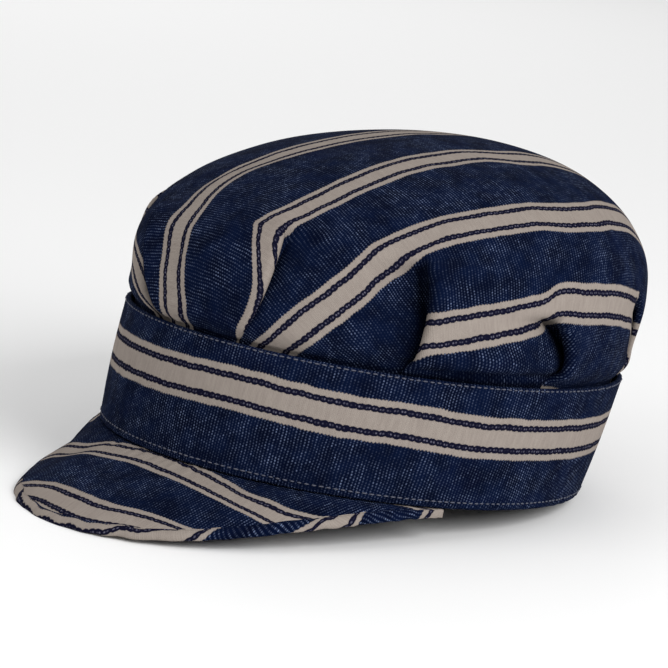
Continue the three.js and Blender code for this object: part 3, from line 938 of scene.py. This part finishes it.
class Shader:
    """A few short names for building a material."""

    def __init__(self, name):
        self.material = bpy.data.materials.new(name)
        self.material.use_nodes = True
        self.tree = self.material.node_tree
        self.tree.nodes.clear()

    def node(self, kind, **settings):
        return add_node(self.tree, kind, **settings)

    def put(self, socket, value):
        value = value.socket if isinstance(value, Number) else value
        if hasattr(value, "is_output"):
            self.tree.links.new(value, socket)
        else:
            socket.default_value = value

    def filled(self, kind, inputs, **settings):
        """A node with some of its inputs set, by name or by number."""
        made = self.node(kind, **settings)
        for key, value in inputs.items():
            self.put(made.inputs[key], value)
        return made

    def step(self, value, low, high):
        """0 at low, 1 at high, smooth between; low may be the higher one."""
        inputs = {"Value": value, "From Min": low, "From Max": high}
        return Number(self, self.filled("ShaderNodeMapRange", inputs,
                                        interpolation_type="SMOOTHSTEP").outputs["Result"])

    def noise(self, vector, scale, detail=2.0, rough=0.5):
        inputs = {"Vector": vector, "Scale": scale, "Detail": detail, "Roughness": rough}
        return Number(self, self.filled("ShaderNodeTexNoise", inputs).outputs["Fac"])

    def chance(self, kind, label, value):
        """A random number that is the same for each whole number or pair of them."""
        node = self.filled("ShaderNodeTexWhiteNoise", {label: value}, noise_dimensions=kind)
        return Number(self, node.outputs["Value"])

    def length(self, x, y):
        return (x ** 2.0 + y ** 2.0).made("SQRT")

    def vector(self, x, y, z=0.0):
        return self.filled("ShaderNodeCombineXYZ", {0: x, 1: y, 2: z}).outputs[0]

    def scaled(self, vector, factor):
        inputs = {0: vector, "Scale": factor}
        return self.filled("ShaderNodeVectorMath", inputs, operation="SCALE").outputs[0]

    def mix(self, factor, a, b):
        return self.filled("ShaderNodeMix", {0: factor, 6: a, 7: b}, data_type="RGBA").outputs[2]

    def surface(self, colour, roughness, shine):
        """A plain surface on the material's output; returns its node."""
        made = self.filled("ShaderNodeBsdfPrincipled", {
            "Base Color": colour, "Roughness": roughness, "Specular IOR Level": shine})
        self.filled("ShaderNodeOutputMaterial", {"Surface": made.outputs[0]})
        return made


# %% [markdown]
# The stripe is worked out from the distance to the middle of its group. Each colour
# change is a smooth step about a thread wide, and the place is shaken by a little
# noise first, because no woven edge is perfectly straight.

# %% The striped denim material
PERIOD = 43.0                        # from one stripe group to the next, mm
BROAD_HALF = 3.15                    # half the broad pale stripe
CHAIN_WIDTH = 2.45
THIN_WIDTH = 2.3
CHAIN_PITCH = 2.62
RIB_PITCH = 1.22                     # the pale ribs that run across the stripes
DASH_PITCH = 1.06                    # the dashes on each rib
NAVY_DARK = (0.0010, 0.0024, 0.0110, 1.0)
NAVY = (0.0018, 0.0052, 0.0225, 1.0)
CHAIN_DARK = (0.0046, 0.0048, 0.0150, 1.0)
CHAIN_PALE = (0.110, 0.108, 0.150, 1.0)
DASH = (0.122, 0.158, 0.262, 1.0)
CREAM = (0.300, 0.262, 0.232, 1.0)
CREAM_DARK = (0.205, 0.172, 0.154, 1.0)
SOFT = 0.28                          # how far a stripe's edge blurs
SCALLOP = 0.16                       # how far its outer edge waves with the chain
WANDER, RIB_WANDER, SHAKE = 1.4, 1.6, 0.42   # how far threads, ribs and edges stray, mm
LINK_FLAT = 0.66                     # a link's length to its width
LINK_OUTSIDE, LINK_INSIDE = 1.34, 1.12
TWIST_PLACE, TWIST_SIZE = 0.52, 0.52 # the pale spots in a link
RIB_SHIFT = 0.37                     # each rib's dashes start a little further on
BUMP_STRENGTH, BUMP_HEIGHT = 0.55, 0.00025
PAINTED_SHADE_STRENGTH = 0.70
CLOTH_ROUGHNESS, CLOTH_SHINE = 0.92, 0.015
THREAD_DARK, THREAD_PALE = (0.042, 0.050, 0.080, 1.0), (0.130, 0.132, 0.160, 1.0)


def striped_denim(name, phase, across="x", period=PERIOD, lively=1.0, weave_map="weave"):
    """Striped denim; phase is where a stripe group's middle lies on the flat cloth, mm."""
    s = Shader(name)

    def flat_place(label):
        """Millimetres across the stripes and along them, from a UV map."""
        place = s.scaled(s.node("ShaderNodeUVMap", uv_map=label).outputs[0], 1 / MM)
        x, y = s.filled("ShaderNodeSeparateXYZ", {0: place}).outputs[:2]
        return Number(s, x if across == "x" else y), Number(s, y if across == "x" else x)

    cross = flat_place("cloth")[0]
    weave_cross, weave_along = flat_place(weave_map)
    flat = s.vector(weave_cross, weave_along)

    def shaken(value, reach, scale, detail=2.0, place=flat):
        """A thread's place, which wanders a little."""
        return value + (s.noise(place, scale, detail) - 0.5) * reach

    cross_place = shaken(shaken(cross, WANDER, 0.12), SHAKE, 1.3, 1.0)
    thread_place = shaken(weave_cross, WANDER, 0.12)
    along_place = shaken(weave_along, RIB_WANDER, 0.10,
                         place=s.vector(weave_along, weave_cross, 7.0))

    # the distance from the middle of the nearest stripe group, and its five parts
    away = abs((cross_place - phase + period / 2) % period - period / 2)
    chain_start, chain_end = BROAD_HALF, BROAD_HALF + CHAIN_WIDTH
    thin_end = chain_end + THIN_WIDTH
    scallop = (along_place * (4 * math.pi / CHAIN_PITCH)).made("COSINE") * SCALLOP
    broad = s.step(away, chain_start + SOFT, chain_start - SOFT)
    thin = (s.step(away, chain_end - SOFT, chain_end + SOFT)
            * s.step(away + scallop, thin_end + SOFT, thin_end - SOFT))
    in_chain = (s.step(away, chain_start - 0.4, chain_start + 0.1)
                * s.step(away, chain_end + 0.4, chain_end - 0.1))

    # the chain: round dark links that overlap, each with a paler middle
    link_along = along_place % CHAIN_PITCH - CHAIN_PITCH / 2
    link_across = away - (chain_start + CHAIN_WIDTH / 2)
    link = s.length(link_along * LINK_FLAT, link_across)
    chain = s.step(link, LINK_OUTSIDE, LINK_INSIDE) * in_chain
    hole = s.step(s.length(abs(link_along) - TWIST_PLACE, link_across), TWIST_SIZE, 0.12)
    pale = broad.made("MAXIMUM", thin).made("MAXIMUM", in_chain) * (chain * -1.0 + 1.0)

    # the weave: on every rib a row of short pale dashes, each one by itself
    rib = along_place / RIB_PITCH
    rib_number = rib.made("FLOOR")
    dash = thread_place / DASH_PITCH + rib_number * RIB_SHIFT
    spot = s.length((rib.made("FRACT") - 0.5) * 1.55, dash.made("FRACT") - 0.5)
    chance = s.chance("2D", "Vector", s.vector(rib_number, dash.made("FLOOR")))
    rib_chance = s.chance("1D", "W", rib_number)
    worn = s.step(s.noise(flat, 0.045, 3.0, 0.65), 0.34, 0.70)
    patch = s.step(s.noise(flat, 0.22), 0.28, 0.70)
    strength = ((worn * 0.72 + 0.20) * (patch * 0.65 + 0.35)
                * (chance ** 1.6 * 1.1 + 0.30) * (rib_chance * 0.5 + 0.7))
    dots = s.step(spot, 0.46, 0.16).made("MULTIPLY", strength * lively, clamp=True)

    # colours, darkened by painted shade where the cloth lies deep in a fold and where it dives
    # under the band
    ground = s.mix(s.step(s.noise(flat, 0.10, 3.0), 0.30, 0.70), NAVY_DARK, NAVY)
    denim = s.mix(dots, ground, DASH)
    fine_ribs = (along_place * (4 * math.pi / RIB_PITCH)).made("COSINE") * 0.5 + 0.5
    streaks = s.noise(s.vector(weave_along * 1.1, weave_cross * 0.12, 3.0), 1.0)
    shade = (fine_ribs * 0.22 + (streaks * 0.9 - 0.12)).made(
        "ADD", s.noise(flat, 0.16) * 0.5 - 0.25, clamp=True)
    colour = s.mix(pale, denim, s.mix(shade, CREAM, CREAM_DARK))
    pale_link = hole * s.step(s.noise(flat, 0.5, 1.0), 0.3, 0.7)
    colour = s.mix(chain, colour, s.mix(pale_link, CHAIN_DARK, CHAIN_PALE))
    # painted shade: the colour is darkened by the points' painted shade amount
    depth = Number(s, s.node("ShaderNodeAttribute", attribute_name="painted_shade_amount").outputs["Fac"])
    shader = s.surface(s.scaled(colour, depth * -PAINTED_SHADE_STRENGTH + 1.0), CLOTH_ROUGHNESS, CLOTH_SHINE)

    # relief: dashes stand up, the pale stripes are ribbed, the links are round
    relief = (fine_ribs * 0.25 + dots * 0.5 + chain * s.step(link, 1.5, 0.8) * 0.6
              + s.noise(flat, 0.9) * 0.5)
    bump = s.filled("ShaderNodeBump", {
        "Strength": BUMP_STRENGTH, "Distance": BUMP_HEIGHT, "Height": relief})
    s.put(shader.inputs["Normal"], bump.outputs[0])
    return s.material


crown_denim = striped_denim("crown_denim", phase=32.0, across="x")
band_denim = striped_denim("band_denim", phase=29.7, across="y", weave_map="cloth")
peak_denim = striped_denim("peak_denim", phase=0.0, across="y", period=40.5, lively=1.1)
for piece, finish in ((crown, crown_denim), (band, band_denim), (peak, peak_denim)):
    piece.data.materials.clear()
    piece.data.materials.append(finish)
print("materials:", [m.name for m in bpy.data.materials if m.users])


# %% Thread, and the rows of stitches on the band
def thread_finish():
    """Pale twisted cotton thread."""
    s = Shader("pale_thread")
    place = s.node("ShaderNodeTexCoord").outputs["Object"]
    s.surface(s.mix(s.noise(place, 900.0), THREAD_DARK, THREAD_PALE), 0.8, 0.2)
    return s.material


def band_line(height):
    """A closed line just proud of the band's outer face, along the nearest row of its mesh."""
    row = int(np.argmin(np.abs(band_points[:BAND_ROWS, :, 2].mean(axis=1) - height)))
    lift = band_point(BAND_ANGLES, height, 0.10) - band_point(BAND_ANGLES, height, 0.0)
    return band_points[row] + lift


UPPER_ROW, LOWER_ROW = BAND_HEIGHT - 1.3, 2.2
sewing_tree, sewing_sockets = stitch_tree(thread_finish())
band_stitching = sewn_rows(
    "band_stitching", [band_line(UPPER_ROW), band_line(LOWER_ROW)], sewing_tree, sewing_sockets)
print("stitches:", len(band_stitching.data.polygons) // 24, "triangles:", triangles(band_stitching))

# %% [markdown]
# ## Hand the cloth to the frame
#
# Each piece takes the place of its solid and rides on the one body.

# %% Ride and replace
degrees = np.linspace(-PEAK_END, PEAK_END, 289)
peak_root, peak_out = unrolled_root(degrees)
peak_rim = peak_root + peak_out * read(PEAK, "reach", degrees)[:, None]
for piece, node in ((crown, "crown"), (band, "band"), (peak, "peak")):
    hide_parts(node)
    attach(piece, "root")
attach(band_stitching, "root")

# %% [markdown]
# ## Table, light and camera
#
# A pale floor and broad soft lights, as in a plain studio shot. The camera keeps
# the angle to the cap at which it was photographed.

# %% Floor, lights and world
def look_along(direction):
    """The turn that points a lamp's -Z along a direction."""
    return Vector(direction).to_track_quat("-Z", "Y").to_euler()


FLOOR_HALF = 4.0
floor = new_piece("floor", [(x * FLOOR_HALF, y * FLOOR_HALF, 0)
                            for x, y in ((-1, -1), (1, -1), (1, 1), (-1, 1))], [(0, 1, 2, 3)])
pale_floor = Shader("pale_floor")
pale_floor.surface((0.92, 0.92, 0.92, 1), 0.9, 0.2)
floor.data.materials.append(pale_floor.material)

world = bpy.data.worlds.new("studio")
world.use_nodes = True
world.node_tree.nodes["Background"].inputs[0].default_value = (1, 1, 1, 1)
world.node_tree.nodes["Background"].inputs[1].default_value = 0.55
bpy.context.scene.world = world
bpy.context.scene.view_settings.view_transform = "Standard"
for name, place, size, power in (
        ("key", (1.5, 0.0, 1.0), 1.0, 25.5),
        ("fill", (-0.4, -1.7, 0.9), 1.4, 9.0),
        ("back", (-1.5, 1.0, 1.1), 1.2, 7.0)):
    data = bpy.data.lights.new(name, "AREA")
    data.size, data.energy = size, power
    lamp = bpy.data.objects.new(name, data)
    lamp.location = place
    lamp.rotation_euler = look_along(np.array([0, 0, 0.06]) - place)
    bpy.context.scene.collection.objects.link(lamp)

# %% Camera at the photograph's angle to the cap
PHOTO_TILT = math.radians(13.57)     # the cap's tilt in the photograph
VIEW_ROUND = math.radians(46.7)
VIEW_UP = math.radians(17.6)
VIEW_DISTANCE = 1300.0
AIM_HEIGHT = 50.0
FOCAL_PIXELS = 2.584 * VIEW_DISTANCE
IMAGE_PIXELS = 668
SENSOR = 36.0
AIM_OFFSET = (6.7, -4.7)             # where the aimed point falls, pixels from the middle


def photo_camera():
    back = np.array([math.sin(VIEW_ROUND) * math.cos(VIEW_UP),
                     -math.cos(VIEW_ROUND) * math.cos(VIEW_UP), math.sin(VIEW_UP)])
    right = np.array([math.cos(VIEW_ROUND), math.sin(VIEW_ROUND), 0.0])
    up = np.cross(back, right)
    place = np.array([0, 0, AIM_HEIGHT]) + back * VIEW_DISTANCE
    turn = REST_TILT - PHOTO_TILT
    axes = np.array([tilted(v, turn) for v in (right, up, back)])
    place = tilted(place, turn) - ORIGIN
    rows = [[*axes[:, i].tolist(), float(place[i]) * MM] for i in range(3)]
    data = bpy.data.cameras.new("photo")
    data.sensor_width = SENSOR
    data.lens = FOCAL_PIXELS / IMAGE_PIXELS * SENSOR
    data.shift_x = -AIM_OFFSET[0] / IMAGE_PIXELS
    data.shift_y = AIM_OFFSET[1] / IMAGE_PIXELS
    camera = bpy.data.objects.new("photo", data)
    camera.matrix_world = Matrix([*rows, [0, 0, 0, 1]])
    bpy.context.scene.collection.objects.link(camera)
    bpy.context.scene.camera = camera
    print("camera height m:", round(place[2] * MM, 3),
          "looks down by degrees:", round(math.degrees(math.asin(axes[2][2])), 1))


photo_camera()
